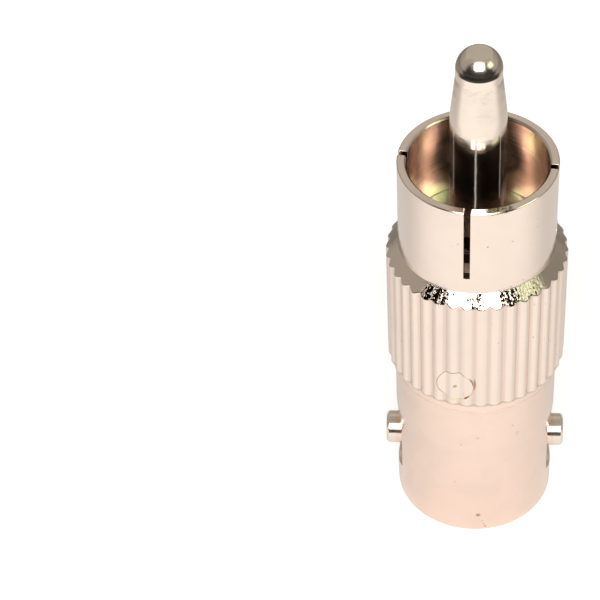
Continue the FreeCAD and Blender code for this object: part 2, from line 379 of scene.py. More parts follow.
# %% Slotted tubes: the round part beyond the slots
def unslotted(rows, shift, azimuth, base, share, half_width):
    """Grid of the whole rounds beyond the slots: the profile starts and ends at them.

    At both ends the columns have the azimuths that suit the slots. Over the steps of
    shift, which lead away from there, they come back to their own.
    """
    fade = 1 - shift / shift[-1]
    slot_share = np.zeros((len(rows), 1))
    slot_share[:len(shift), 0] = fade
    slot_share[-len(shift):, 0] = fade[::-1]
    bent = slotted(base, share, half_width, rows[..., 0])
    return joined_round(carried(rows, slot_share * bent + (1 - slot_share) * azimuth))


# %% [markdown]
# Now the body itself, the largest piece: collar, shoulder cone and slotted shell are
# one turning. Its profile runs down the outside, through the bore from below and up
# inside the shell. Every column runs through knurl, mark and slots, so the azimuths
# that any of the three needs are put together first.

# %% Knurled body: columns
SHELL_R = 4.56
SHELL_BORE_R = 4.01
SLOT_HALF = 0.18
SLOT_BOTTOM = 21.53
SLOT_AZIMUTH = -7.0
SLOT_BEND = 12.0
COLUMN_GAP = 0.03

slot_centres = SLOT_AZIMUTH + 90.0 * np.arange(5)
pitch_steps = np.concatenate([-np.array(HALF_PITCH[1:-1])[::-1], HALF_PITCH])
knurl_azimuth = (GROOVE_PHASE + PITCH * np.arange(-3, RIDGES + 3))[:, None] + pitch_steps
knurl_azimuth = np.concatenate([knurl_azimuth.ravel(), mark_columns()])
knurl_azimuth = np.unique(np.round(np.where(knurl_azimuth < SLOT_AZIMUTH, knurl_azimuth + 360,
                                            knurl_azimuth), 6))
knurl_azimuth = knurl_azimuth[knurl_azimuth < SLOT_AZIMUTH + 360]
knurl_azimuth = knurl_azimuth[np.diff(knurl_azimuth, append=SLOT_AZIMUTH + 360) > COLUMN_GAP]
knurl_azimuth = np.union1d(knurl_azimuth, slot_centres[:-1])
shell_base, shell_share, sector_counts = bent_columns(knurl_azimuth, slot_centres, SHELL_R,
                                                      SLOT_BEND)
print("columns round the body:", len(knurl_azimuth), "in sectors of", sector_counts)

# %% Knurled body: profile rows
SHOULDER_TOP = 20.40
SHELL_FOOT = 0.06
COLLAR_TOP = 19.75
NECK_LEN = 0.44
SHELL_FLOOR = 20.95
PLUG_HOLE_R = 2.5
PLUG_WEB = 2.05
PLUG_FLANGE_R = 3.4
PLUG_FLANGE_LEN = 1.5
COLLAR_BOTTOM = SEAM + NECK_LEN + COLLAR_R - NECK_R
WEB_BOTTOM = SHELL_FLOOR - PLUG_WEB
FLANGE_BOTTOM = WEB_BOTTOM - PLUG_FLANGE_LEN

collar = groove_radius(knurl_azimuth)
cone_slope = (SHOULDER_TOP - COLLAR_TOP) / (COLLAR_R - SHELL_R - SHELL_FOOT)
cone_foot = COLLAR_TOP + (COLLAR_R - collar) * cone_slope
bevel_top = COLLAR_BOTTOM - (COLLAR_R - collar)
SHIFT_ROWS = 6
SHIFT_SHARE = 0.8
shift = np.linspace(0, SHIFT_SHARE, SHIFT_ROWS + 1)
wall_rows = SLOT_BOTTOM - shift * (SLOT_BOTTOM - SHOULDER_TOP - SHELL_FOOT)
bore_rows = SLOT_BOTTOM - shift * (SLOT_BOTTOM - SHELL_FLOOR)
upper = eased([
    *[(SHELL_R, height, 0) for height in wall_rows],
    (SHELL_R, SHOULDER_TOP + SHELL_FOOT, 0.02),
    (SHELL_R + SHELL_FOOT, SHOULDER_TOP, 0.02),
    (collar, cone_foot, 0.05),
    (collar, COLLAR_TOP - 2.0, 0),
])
lower = eased([
    (collar, COLLAR_BOTTOM + 0.1, 0),
    (collar, bevel_top, 0.04),
    (NECK_R, SEAM + NECK_LEN, 0.05),
    (NECK_R, SEAM + SEAM_BEVEL, 0.02),
    (NECK_R - SEAM_BEVEL, SEAM, 0.02),
])
inside = eased([
    (NECK_R - SEAM_BEVEL, SEAM, 0),
    (SPIGOT_R, SEAM, 0.03),
    (SPIGOT_R, FLANGE_BOTTOM, 0),
    (PLUG_FLANGE_R, FLANGE_BOTTOM, 0),
    (PLUG_FLANGE_R, WEB_BOTTOM, 0),
    (PLUG_HOLE_R, WEB_BOTTOM, 0),
    (PLUG_HOLE_R, SHELL_FLOOR, 0.04),
    (SHELL_BORE_R, SHELL_FLOOR, 0.08),
    *[(SHELL_BORE_R, height, 0) for height in bore_rows[::-1]],
])

# %% Knurled body: the solid part below the slots
inside = np.broadcast_to(inside, (len(inside), len(knurl_azimuth), 2))
body_rows = np.concatenate([upper, mark_rows(knurl_azimuth, collar)[::-1], lower, inside[1:]])
body_grids = [unslotted(body_rows, shift, knurl_azimuth, shell_base, shell_share, SLOT_HALF)]

# %% Knurled body: springs, slot floors and slot sides
RIM_OUTER = 0.06
RIM_INNER = 0.12
SAW_EDGE = 0.03
FLOOR_STEP = 0.05


def inward_normals(rows):
    """Unit normals of a profile that runs up the outside, towards the middle of the wall."""
    along = np.gradient(rows[:, 0], axis=0)
    normal = np.stack([-along[:, 1], along[:, 0]], -1)
    return normal / np.linalg.norm(normal, axis=-1, keepdims=True)


def springs(rows, base, share, counts, half_width):
    """Grids of the springs, the flat sides of their slots, and the slots' ends.

    Beside a sawn side the wall is thinner by e - sqrt(e^2 - (e - s)^2) at a distance s,
    a quarter circle of radius e, except in the two rows that join the rest of the tube.
    """
    grids, first, edge = [], 0, SLOT_HALF_COLUMNS
    for count in counts:
        columns = np.arange(first, first + count + 1)
        turns = columns // len(base) * 360.0
        columns = columns % len(base)
        near = np.full(count + 1, np.inf)
        steps = np.append(0, EDGE_STEPS)
        near[edge:edge + len(steps)] = steps
        near[count - edge - len(steps) + 1:count - edge + 1] = steps[::-1]
        gap = np.clip(SAW_EDGE - near, 0, SAW_EDGE)
        thinner = SAW_EDGE - np.sqrt(SAW_EDGE ** 2 - gap ** 2)
        inner_rows = np.ones((len(rows), 1))
        inner_rows[[0, -1]] = 0
        shaped = rows + (inner_rows * thinner)[..., None] * inward_normals(rows)[:, None]
        azimuth = slotted(base[columns] + turns, share[columns], half_width, shaped[..., 0])
        grid = carried(shaped, azimuth)
        spring = grid[:, edge:count + 1 - edge]
        ends = np.stack([grid[0], grid[-1]])
        grids += [spring, ladder(spring[:, 0]), ladder(spring[:, -1])]
        grids += [ends[:, :edge + 1], ends[:, -edge - 1:]]
        first += count
    return grids


shell_rows = eased([
    (SHELL_R, SLOT_BOTTOM, 0),
    (SHELL_R, SLOT_BOTTOM + FLOOR_STEP, 0),
    (SHELL_R, SHELL_TOP - RIM_OUTER, 0.02),
    (SHELL_R - RIM_OUTER, SHELL_TOP, 0.02),
    (SHELL_BORE_R + RIM_INNER, SHELL_TOP, 0.02),
    (SHELL_BORE_R, SHELL_TOP - RIM_INNER, 0.02),
    (SHELL_BORE_R, SLOT_BOTTOM + FLOOR_STEP, 0),
    (SHELL_BORE_R, SLOT_BOTTOM, 0),
])
body_grids += springs(shell_rows, shell_base, shell_share, sector_counts, SLOT_HALF)
body = piece_from("knurled_shell_body", body_grids, "knurled_body")

# %% [markdown]
# The barrel of the socket is a second turning, pressed into the collar from below.
# Two bayonet lugs stand on it, each in a shallow round pocket that the cutter leaves.
# Lug and pocket are round as seen from the side, so every column is broken where it
# crosses the two circles, as at the round mark. There a column keeps its distance from
# the lug's axis, so that the lug's walls stand straight out.

# %% Barrel: sizes and columns
BARREL_R = 4.83
FRONT_R = 4.78
FRONT_LEN = 6.7
STEP_LEN = 0.2
RING_LEN = 0.26
MOUTH_OUTER = 0.10
MOUTH_INNER = 0.22
BARREL_BORE_R = 4.15
BARREL_FLOOR = 8.6
WEB_TOP = 10.2
SPIGOT_TOP = 15.3
SPIGOT_LEAD = 0.25
REAR_BORE_R = 3.4
SOCKET_HOLE_R = 2.15
PRESS = 0.01
LUG_R = 1.0
LUG_Z = 4.28
LUG_BEVEL = 0.15
POCKET_R = 2.5
POCKET_FLOOR = 4.50
POCKET_HALF = math.sqrt(FRONT_R ** 2 - POCKET_FLOOR ** 2)
LUG_SECTOR = 30.0
CROWN_COLUMNS = 45
CAP_COLUMNS = 35
POCKET_COLUMNS = 31
BESIDE_COLUMNS = 6
PLAIN_COLUMNS = 49
NO_LUG = 9.0


def barrel_columns():
    """Azimuths of the columns, their offsets from a lug's axis, and that axis's azimuth."""
    crown = np.cos(np.linspace(0, math.pi, CROWN_COLUMNS)) * LUG_R
    cap = np.cos(np.linspace(0, math.pi, CAP_COLUMNS)) * (LUG_R - LUG_BEVEL)
    pocket = np.linspace(-POCKET_HALF, POCKET_HALF, POCKET_COLUMNS)
    sector_edge = BARREL_R * math.sin(math.radians(LUG_SECTOR))
    beside = np.linspace(POCKET_HALF, sector_edge, BESIDE_COLUMNS)
    side = np.unique(np.round(np.concatenate([crown, cap, pocket, beside, -beside]), 4))
    side = side[np.diff(side, append=NO_LUG) > 0.002]
    turn = np.degrees(np.arcsin(side / BARREL_R))
    plain = np.linspace(LUG_SECTOR, 180 - LUG_SECTOR, PLAIN_COLUMNS)[1:-1]
    azimuth = np.concatenate([turn + 90, plain + 90, turn + 270, plain + 270])
    offset = np.concatenate([side, plain * 0 + NO_LUG] * 2)
    axis = np.repeat([90.0, 90.0, 270.0, 270.0], [len(side), len(plain)] * 2)
    return azimuth, offset, axis


barrel_azimuth, offset, lug_axis = barrel_columns()
print("columns round the barrel:", len(barrel_azimuth))

# %% Barrel: one closed profile, with pocket and lug
in_pocket = np.abs(offset) < POCKET_HALF - 1e-4
in_lug = np.abs(offset) < LUG_R - 1e-4
reach = np.minimum(np.abs(offset), POCKET_HALF)
pocket_half = np.sqrt(POCKET_R ** 2 - reach ** 2)
lug_half = np.sqrt(np.maximum(LUG_R ** 2 - reach ** 2, 0)) * in_lug
cap_half = np.sqrt(np.maximum((LUG_R - LUG_BEVEL) ** 2 - reach ** 2, 0))
cap_x = LUG_REACH - np.maximum(reach - (LUG_R - LUG_BEVEL), 0)
floor_r = np.where(in_pocket, np.hypot(POCKET_FLOOR, offset), FRONT_R)
wall_r = np.where(in_lug, np.hypot(LUG_REACH - LUG_BEVEL, offset), floor_r)
cap_r = np.where(in_lug, np.hypot(cap_x, offset), floor_r)
step_foot = np.maximum(FRONT_LEN, LUG_Z + pocket_half + 0.02)
lug_side = [(FRONT_R, pocket_half, 0.03), (floor_r, pocket_half, 0.05),
            (floor_r, lug_half, 0.04), (wall_r, lug_half, 0.04), (cap_r, cap_half, 0.06)]
barrel_rows = eased([
    (FRONT_R - MOUTH_OUTER, 0, 0.02),
    (FRONT_R, MOUTH_OUTER, 0.04),
    *[(r, LUG_Z - half, ease) for r, half, ease in lug_side],
    *[(r, LUG_Z + half, ease) for r, half, ease in lug_side[::-1]],
    (FRONT_R, step_foot, 0),
    (BARREL_R, FRONT_LEN + STEP_LEN + 0.5, 0.2),
    (BARREL_R, SEAM - RING_LEN - NECK_R + BARREL_R, 0.03),
    (NECK_R, SEAM - RING_LEN, 0.03),
    (NECK_R, SEAM - SEAM_BEVEL, 0.02),
    (NECK_R - SEAM_BEVEL, SEAM, 0.02),
    (SPIGOT_R - PRESS, SEAM, 0),
    (SPIGOT_R - PRESS, SPIGOT_TOP - SPIGOT_LEAD, 0.03),
    (SPIGOT_R - PRESS - SPIGOT_LEAD / 2, SPIGOT_TOP, 0.03),
    (REAR_BORE_R, SPIGOT_TOP, 0),
    (REAR_BORE_R, WEB_TOP, 0),
    (SOCKET_HOLE_R, WEB_TOP, 0),
    (SOCKET_HOLE_R, BARREL_FLOOR, 0.05),
    (BARREL_BORE_R, BARREL_FLOOR, 0.1),
    (BARREL_BORE_R, MOUTH_INNER, 0.06),
    (BARREL_BORE_R + MOUTH_INNER, 0, 0.03),
], closed=True)

# %% Barrel: the whole piece
radius, height = barrel_rows[..., 0], barrel_rows[..., 1]
outside = (radius > POCKET_FLOOR - 0.1) & (height < SEAM) & (np.abs(offset) < POCKET_HALF + 1e-4)
turn_radius = np.where(outside, np.maximum(radius, POCKET_FLOOR), BARREL_R)
turned_by = np.degrees(np.arcsin(np.clip(offset / turn_radius, -0.9, 0.9)))
on_lug_side = np.abs(offset) < BARREL_R
barrel_round = carried(barrel_rows, np.where(on_lug_side, lug_axis + turned_by, barrel_azimuth))
barrel_round = joined_round(np.concatenate([barrel_round, barrel_round[:1]]))
barrel = piece_from("bayonet_barrel", [barrel_round], "bnc_barrel")

# %% [markdown]
# Two insulators hold the centre conductors. The white one fills the middle of the
# socket, and its face lies a little inside the mouth. The black one is a ring at the
# foot of the phono pin. Both are plain turnings of a slippery plastic.

# %% Insulators
CONTACT_R = 1.0
SLIP = 0.03
SOCKET_FACE = 3.0
CONTACT_SEAT = 12.6
PIN_SEAT_R = 1.8
FACE_SINK = 0.10


def turned_piece(name, corners, node, columns=160):
    """A closed profile of (radius, height, ease) corners carried once round the axis."""
    rows = eased(corners, closed=True)
    rows = np.concatenate([rows, rows[:1]])
    azimuth = np.linspace(-180, 180, columns + 1)
    return piece_from(name, [carried(rows, azimuth)], node)


socket_insulator = turned_piece("socket_insulator_column", [
    (CONTACT_R + SLIP, SOCKET_FACE, 0.05),
    (SOCKET_HOLE_R - PRESS - 0.1, SOCKET_FACE, 0.05),
    (SOCKET_HOLE_R - PRESS, SOCKET_FACE + 0.1, 0.05),
    (SOCKET_HOLE_R - PRESS, WEB_TOP, 0),
    (REAR_BORE_R - PRESS, WEB_TOP, 0.02),
    (REAR_BORE_R - PRESS, CONTACT_SEAT, 0.02),
    (CONTACT_R + SLIP, CONTACT_SEAT, 0),
], "bnc_insulator")
plug_insulator = turned_piece("plug_insulator_ring", [
    (PIN_SEAT_R + PRESS, FLANGE_BOTTOM, 0),
    (PLUG_FLANGE_R - PRESS, FLANGE_BOTTOM, 0.02),
    (PLUG_FLANGE_R - PRESS, WEB_BOTTOM, 0.02),
    (PLUG_HOLE_R - PRESS, WEB_BOTTOM, 0),
    (PLUG_HOLE_R - PRESS, SHELL_FLOOR - FACE_SINK, 0.06),
    (PIN_SEAT_R + PRESS, SHELL_FLOOR - FACE_SINK, 0.03),
], "rca_insulator")

# %% [markdown]
# The phono pin: a straight shaft, a cone down to a slimmer nose, and a flattened dome.
# The dome is an arc through three points, worked out from the circle's formula. Below
# the insulator the pin has a collar, so that it can't be pulled out.

# %% Centre pin
PIN_R = 1.6
NOSE_R = 1.30
CONE_START = 29.8
CONE_END = 32.5
NOSE_TOP = 32.95
DOME_MIDDLE = (1.18, 33.52)
TIP_FLAT_R = 0.72
PIN_COLLAR_R = 2.2
PIN_COLLAR_LEN = 1.0
PIN_BOTTOM = 13.6
TAIL_R = 0.80
TAIL_BORE_TOP = PIN_BOTTOM + 4.0
TIP_SUPPORT_R = 0.2
DOME_STEPS = 24
PIN_COLUMNS = 192


def arc_through(a, b, c, count):
    """Points on the circle through a, b and c: equal angles from a to c."""
    a, b, c = (np.array(point, float) for point in (a, b, c))
    sides = 2 * np.stack([b - a, c - a])
    centre = np.linalg.solve(sides, [b @ b - a @ a, c @ c - a @ a])
    start, end = (math.atan2(*(point - centre)[::-1]) for point in (a, c))
    angle = np.linspace(start, end, count)
    spread = np.stack([np.cos(angle), np.sin(angle)], -1)
    return centre + np.linalg.norm(a - centre) * spread


dome = arc_through((NOSE_R, NOSE_TOP), DOME_MIDDLE, (TIP_FLAT_R, PIN_TIP), DOME_STEPS)
pin = turned_piece("phono_pin", [
    (TAIL_R, PIN_BOTTOM, 0.03),
    (PIN_SEAT_R, PIN_BOTTOM, 0.03),
    (PIN_SEAT_R, FLANGE_BOTTOM - PIN_COLLAR_LEN, 0),
    (PIN_COLLAR_R, FLANGE_BOTTOM - PIN_COLLAR_LEN, 0.03),
    (PIN_COLLAR_R, FLANGE_BOTTOM, 0.03),
    (PIN_SEAT_R, FLANGE_BOTTOM, 0),
    (PIN_SEAT_R, SHELL_FLOOR - FACE_SINK, 0.03),
    (PIN_R, SHELL_FLOOR - FACE_SINK, 0.03),
    (PIN_R, CONE_START, 0.40),
    (NOSE_R, CONE_END, 0.05),
    (NOSE_R, NOSE_TOP - 0.04, 0),
    (NOSE_R, NOSE_TOP, 0.02),
    *[(r, z, 0) for r, z in dome[1:-1]],
    (TIP_FLAT_R, PIN_TIP, 0.06),
    (TIP_SUPPORT_R, PIN_TIP, 0),
    (0, PIN_TIP, 0),
    (0, TAIL_BORE_TOP, 0),
    (TAIL_R, TAIL_BORE_TOP, 0.03),
], "rca_pin", PIN_COLUMNS)

# %% [markdown]
# The socket's contact is a thin tube, sawn into four fingers that are drawn in at the
# lips. Its profile is one line like the shell's, and the same functions saw it. The
# saw was thin, so the fingers almost touch at their lips.

# %% Socket contact
TIP_Z = 3.05
TIP_R = 0.87
LIP_R = 0.42
CONTACT_BORE_R = 0.68
BORE_END = TIP_Z + 6.0
TAPER_LEN = 2.1
FINGER_HALF = 0.14
FINGER_TOP = TIP_Z + 4.0
FINGER_AZIMUTH = 20.0
FINGER_BEND = 38.0
FINGER_COLUMN = 2.5
CONTACT_COLLAR_R = 1.8
TAIL_TOP = PIN_BOTTOM + 3.8

finger_centres = FINGER_AZIMUTH + 90.0 * np.arange(5)
finger_azimuth = FINGER_AZIMUTH + np.arange(0, 360, FINGER_COLUMN)
finger_base, finger_share, finger_counts = bent_columns(finger_azimuth, finger_centres,
                                                        CONTACT_R, FINGER_BEND)
finger_rows = eased([
    (CONTACT_R, FINGER_TOP, 0),
    (CONTACT_R, FINGER_TOP - FLOOR_STEP, 0),
    (CONTACT_R, TIP_Z + TAPER_LEN, 0.3),
    (TIP_R, TIP_Z, 0.05),
    (LIP_R, TIP_Z, 0.04),
    (LIP_R, TIP_Z + TAPER_LEN * 0.2, 0.1),
    (CONTACT_BORE_R, TIP_Z + TAPER_LEN * 0.7, 0.1),
    (CONTACT_BORE_R, FINGER_TOP - FLOOR_STEP, 0),
    (CONTACT_BORE_R, FINGER_TOP, 0),
])
CONTACT_SHIFT_ROWS = 4
CONTACT_SHIFT_LEN = 1.5
shift = np.linspace(0, CONTACT_SHIFT_LEN, CONTACT_SHIFT_ROWS + 1)
stem_rows = eased([
    *[(CONTACT_R, FINGER_TOP + away, 0) for away in shift],
    (CONTACT_R, CONTACT_SEAT, 0),
    (CONTACT_COLLAR_R, CONTACT_SEAT, 0.02),
    (CONTACT_COLLAR_R, PIN_BOTTOM, 0.02),
    (TAIL_R - PRESS, PIN_BOTTOM, 0),
    (TAIL_R - PRESS, TAIL_TOP, 0.03),
    (0, TAIL_TOP, 0),
    (0, BORE_END + CONTACT_BORE_R / 2, 0),
    (CONTACT_BORE_R, BORE_END, 0.03),
    *[(CONTACT_BORE_R, FINGER_TOP + away, 0) for away in shift[::-1]],
])
contact_grids = [unslotted(stem_rows, shift, finger_azimuth, finger_base, finger_share,
                           FINGER_HALF)]
contact_grids += springs(finger_rows, finger_base, finger_share, finger_counts, FINGER_HALF)
contact = piece_from("split_contact", contact_grids, "socket_contact")

# %% [markdown]
# Every finish here is plated metal or plain plastic, so the effects are shared: the
# circles that a turning tool leaves, tiny specks and pits, slow stains and fine streaks.
# Each is a node group that gives only masks and measures, and each material uses them
# with its own values. They read Object coordinates, turned into a distance from the
# axis and a height, because everything that a lathe leaves follows those two. Masks are
# added and multiplied all the time, so a small class lets their nodes be written as a
# formula.

# %% Helper: node outputs in formulas
PER_MM = 1000.0


class Wire:
    """One output of a node. With +, -, * and abs() it gives the output of a Math node."""

    def __init__(self, socket):
        self.socket = socket
        self.tree = socket.id_data

    def __add__(self, other):
        return maths("ADD", self, other)

    def __sub__(self, other):
        return maths("SUBTRACT", self, other)

    def __rsub__(self, other):
        return maths("SUBTRACT", other, self)

    def __mul__(self, other):
        return maths("MULTIPLY", self, other)

    def __abs__(self):
        return maths("ABSOLUTE", self)


class Outputs:
    """The outputs of one node, each a Wire, by name or by number."""

    def __init__(self, node):
        self.node = node

    def __getitem__(self, key):
        return Wire(self.node.outputs[key])


def feed(socket, value):
    """Links a wire to an input socket, or makes a plain value that socket's own."""
    if isinstance(value, Wire):
        value.tree.links.new(value.socket, socket)
    else:
        socket.default_value = value


def added(tree, kind, inputs=None, **settings):
    """Adds a node, sets its properties and feeds its inputs. Gives its outputs."""
    node = tree.nodes.new(kind)
    for key, value in settings.items():
        setattr(node, key, value)
    for key, value in (inputs or {}).items():
        feed(node.inputs[key], value)
    return Outputs(node)


def tree_of(*values):
    """The tree of the first wire among some values."""
    return next(value.tree for value in values if isinstance(value, Wire))


# %% Helper: the nodes that come up again and again
MIX_FIRST, MIX_SECOND, MIX_RESULT = 6, 7, 2
GIVE_NUMBERS = ("LENGTH", "DISTANCE", "DOT_PRODUCT")


def maths(operation, *values):
    """One Math node."""
    inputs = dict(enumerate(values))
    return added(tree_of(*values), "ShaderNodeMath", inputs, operation=operation)[0]


def vectors(operation, first, second=(0, 0, 0)):
    """One Vector Math node. SCALE takes a number second, and the others a vector."""
    inputs = {0: first, "Scale" if operation == "SCALE" else 1: second}
    made = added(tree_of(first, second), "ShaderNodeVectorMath", inputs, operation=operation)
    return made["Value" if operation in GIVE_NUMBERS else "Vector"]


def place_on(tree):
    """Object coordinates, in metres."""
    return added(tree, "ShaderNodeTexCoord")["Object"]


def xyz(place):
    """The three parts of a vector."""
    parts = added(place.tree, "ShaderNodeSeparateXYZ", {0: place})
    return parts[0], parts[1], parts[2]


def combined(x, y=0.0, z=0.0):
    """A vector of three parts."""
    return added(tree_of(x, y, z), "ShaderNodeCombineXYZ", {0: x, 1: y, 2: z})[0]


def noise(place, scale, **more):
    """Noise texture between 0 and 1."""
    inputs = {"Vector": place, "Scale": scale, **more}
    return added(place.tree, "ShaderNodeTexNoise", inputs)["Fac"]


def step(value, low, high):
    """0 before low, 1 past high and a smooth step between them, whichever is larger."""
    inputs = {"Value": value, "From Min": low, "From Max": high}
    return added(value.tree, "ShaderNodeMapRange", inputs, interpolation_type="SMOOTHSTEP")[0]


def between(value, low, full_from, full_to, high):
    """1 from full_from to full_to, with a smooth step down to 0 at low and at high."""
    return step(value, low, full_from) * step(value, high, full_to)


def mixed(share, first, second):
    """Colour mix: first where share is 0, second where it is 1."""
    inputs = {0: share, MIX_FIRST: first, MIX_SECOND: second}
    return added(tree_of(*inputs.values()), "ShaderNodeMix", inputs, data_type="RGBA")[MIX_RESULT]


def painted(colour, layers):
    """Lays (mask, tint) layers over a colour, one after the other."""
    for mask, tint in layers:
        colour = mixed(mask, colour, tint)
    return colour


# %% Helper: node groups
def node_group(name, inputs, outputs, formula):
    """A group with named numbers in. The formula gives one wire for each output."""
    group = bpy.data.node_groups.new(name, "ShaderNodeTree")
    for socket, value in inputs.items():
        made = group.interface.new_socket(socket, in_out="INPUT", socket_type="NodeSocketFloat")
        made.default_value = value
    for socket, kind in outputs.items():
        group.interface.new_socket(socket, in_out="OUTPUT", socket_type="NodeSocket" + kind)
    results = formula(group, added(group, "NodeGroupInput"))
    end = group.nodes.new("NodeGroupOutput")
    for socket, wire in zip(outputs, results):
        feed(end.inputs[socket], wire)
    return group


def placed(tree, group, **values):
    """A group placed in a tree, with its own values. Gives its outputs."""
    return added(tree, "ShaderNodeGroup", values, node_tree=group)


# %% Group: distance from the axis, height and direction
def lathe_formula(tree, given):
    """Radius sqrt(x^2 + y^2) and height in mm, and the unit direction from the axis."""
    x, y, z = xyz(place_on(tree))
    flat = combined(x, y)
    return vectors("LENGTH", flat) * PER_MM, z * PER_MM, vectors("NORMALIZE", flat)


lathe_coordinates = node_group("lathe_coordinates", {}, {
    "Radius": "Float", "Height": "Float", "Around": "Vector"}, lathe_formula)


# %% Group: circles left by the turning tool
def tool_lines_formula(tree, given):
    """Noise over (radius, height) times the density, a little wandering round the axis.

    In slow patches the lines fade towards their mean, 0.5.
    """
    lathe = placed(tree, lathe_coordinates)
    density = given["Density"]
    line = combined(lathe["Radius"] * density, lathe["Height"] * density)
    wander = vectors("SCALE", lathe["Around"], given["Wander"])
    fine = noise(vectors("ADD", line, wander), 1.0, Detail=3.0, Roughness=0.65)
    patch = step(noise(place_on(tree), 0.9 * PER_MM), 0.35, 0.65)
    return [(fine - 0.5) * (1 - patch * given["Patches"]) + 0.5]


tool_lines = node_group("tool_lines", {"Density": 12.0, "Wander": 0.4, "Patches": 0.5},
                        {"Lines": "Float"}, tool_lines_formula)


# %% Group: specks and pits
def specks_formula(tree, given):
    """Dots in random cells, 1 in a dot. Each cell has one by chance, of its own size."""
    place = place_on(tree)
    warp = added(tree, "ShaderNodeTexNoise", {"Vector": place, "Scale": 9.0 * PER_MM})["Color"]
    bent = vectors("ADD", place, vectors("SCALE", warp, 0.08 * MM))
    scale = given["Scale"] * PER_MM
    cells = added(tree, "ShaderNodeTexVoronoi", {"Vector": bent, "Scale": scale})
    picks = added(tree, "ShaderNodeSeparateColor", {0: cells["Color"]})
    reach = given["Size"] * (picks[1] * 0.8 + 0.2)
    chosen = maths("LESS_THAN", picks[0], given["Chance"])
    return [step(cells["Distance"], reach, reach * 0.6) * chosen]


specks = node_group("specks", {"Scale": 5.0, "Chance": 0.2, "Size": 0.3},
                    {"Mask": "Float"}, specks_formula)


# %% Group: slow stains in the plating
def stains_formula(tree, given):
    """Slow, slightly swirled noise, made steeper between two of its levels."""
    slow = noise(place_on(tree), given["Scale"] * PER_MM, Detail=4.0, Roughness=0.6,
                 Distortion=0.4)
    return [step(slow, given["Low"], given["High"])]


stains = node_group("stains", {"Scale": 0.5, "Low": 0.4, "High": 0.65},
                    {"Mask": "Float"}, stains_formula)


# %% Group: streaks that run straight up a wall or outwards on a cone
def streaks_formula(tree, given):
    """Noise over the unit direction from the axis times Count, drifting with height."""
    lathe = placed(tree, lathe_coordinates)
    around = vectors("SCALE", lathe["Around"], given["Count"])
    upward = combined(0.0, 0.0, lathe["Height"] * given["Drift"])
    return [noise(vectors("ADD", around, upward), 1.0, Detail=4.0, Roughness=0.7)]


streaks = node_group("streaks", {"Count": 8.0, "Drift": 0.2}, {"Streaks": "Float"},
                     streaks_formula)

# %% Group: scuffed sectors of the cone
SCUFFS = ((-28.5, 12.0, 0.82), (0.5, 7.5, 0.76), (22.5, 9.5, 0.80), (38.0, 9.0, 0.52))
SCUFF_EDGE = 4.0
SCUFF_WANDER = 8.0


def scuffs_formula(tree, given):
    """How worn a sector round the axis is: (middle, half width, amount), in degrees."""
    place = place_on(tree)
    x, y, _ = xyz(place)
    angle = maths("ARCTAN2", x, y * -1) * math.degrees(1)
    angle = angle + (noise(place, 2.5 * PER_MM) - 0.5) * SCUFF_WANDER
    most = 0.0
    for middle, half, amount in SCUFFS:
        here = step(abs(angle - middle), half, half - SCUFF_EDGE) * amount
        most = maths("MAXIMUM", most, here)
    return [most]


scuffs = node_group("scuffs", {}, {"Amount": "Float"}, scuffs_formula)


# %% Group: the round mark
def round_mark_formula(tree, given):
    """Masks from the distance to the mark's axis: a thin outline, its disc, its dimple."""
    turn = math.radians(MARK_AZIMUTH)
    place = vectors("SCALE", place_on(tree), PER_MM)
    beside = vectors("DOT_PRODUCT", place, (math.cos(turn), math.sin(turn), 0))
    before = vectors("DOT_PRODUCT", place, (math.sin(turn), -math.cos(turn), 0))
    above = xyz(place)[2] - MARK_Z
    far = vectors("LENGTH", combined(beside, above))
    facing = step(before, 4.80, 4.90)
    # Painted light: the outline is fainter low down, where the step catches light.
    lit_low = step(above, -0.6 * MARK_R, -0.8 * MARK_R) * 0.3
    outline = step(abs(far - MARK_R), 0.045, 0.01) * facing * (1 - lit_low)
    disc = step(far, MARK_R, MARK_R - 0.05) * facing
    return outline, disc, step(far, 0.15, 0.07) * facing


round_mark = node_group("round_mark", {}, {
    "Outline": "Float", "Disc": "Float", "Dimple": "Float"}, round_mark_formula)
print("node groups:", [group.name for group in bpy.data.node_groups])


# %% Helper: dots at given places
def soft_dots(tree, dots):
    """Mask of dots (x, y, z, radius, amount) in mm: the amount within a third, 0 outside."""
    place = vectors("SCALE", place_on(tree), PER_MM)
    mask = 0.0
    for *centre, radius, amount in dots:
        dot = step(vectors("DISTANCE", place, centre), radius, radius / 3) * amount
        mask = maths("MAXIMUM", mask, dot)
    return mask


# %% Helper: a material and its shader
MICRON = 1e-6


def new_material(name, piece):
    """A material as the one finish of a piece. Gives its tree and its shader."""
    material = bpy.data.materials.new(name)
    material.use_nodes = True
    piece.data.materials.append(material)
    print(f"{piece.name} is finished in {name}")
    tree = material.node_tree
    return tree, next(node for node in tree.nodes if node.type == "BSDF_PRINCIPLED")


def surface(shader, colour, roughness, rise, depth, constants):
    """Feeds a Principled shader. A rise of 1 stands for depth micrometres of bump."""
    bump = {"Height": rise, "Distance": depth * MICRON, "Strength": 1.0}
    normal = added(rise.tree, "ShaderNodeBump", bump)[0]
    values = {"Base Color": colour, "Roughness": roughness, "Normal": normal, **constants}
    for name, value in values.items():
        feed(shader.inputs[name], value)
